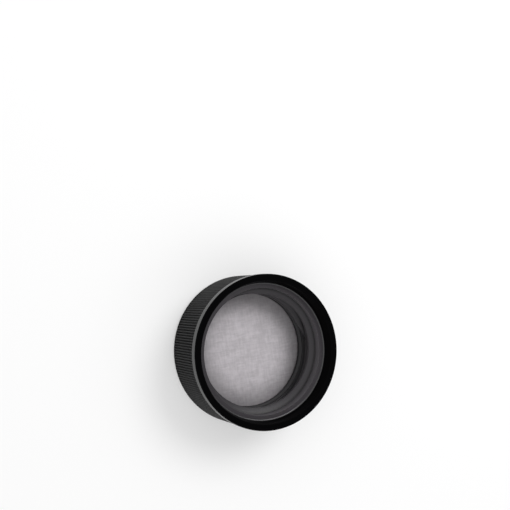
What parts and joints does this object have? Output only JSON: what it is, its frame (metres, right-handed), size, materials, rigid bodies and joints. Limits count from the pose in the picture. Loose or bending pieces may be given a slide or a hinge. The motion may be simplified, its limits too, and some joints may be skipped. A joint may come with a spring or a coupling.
{
  "type": "screw cap",
  "caption": "Low round screw cap with a finely ribbed skirt, a smooth band at its open end, an internal thread and a foam disc on the inside of its head.",
  "frame": {"origin": "centre of the outer face of the closed head, which it stands on", "axes": "+Z along the thread's axis, out of the open end; +X through the inner end of the thread"},
  "size_m": [0.027, 0.027, 0.0112],
  "materials": {
    "black_plastic": "semi-gloss",
    "white_foam": "matte"
  },
  "bodies": {
    "root": {"cap_shell": "black_plastic", "foam_liner": "white_foam"}
  },
  "joints": []
}
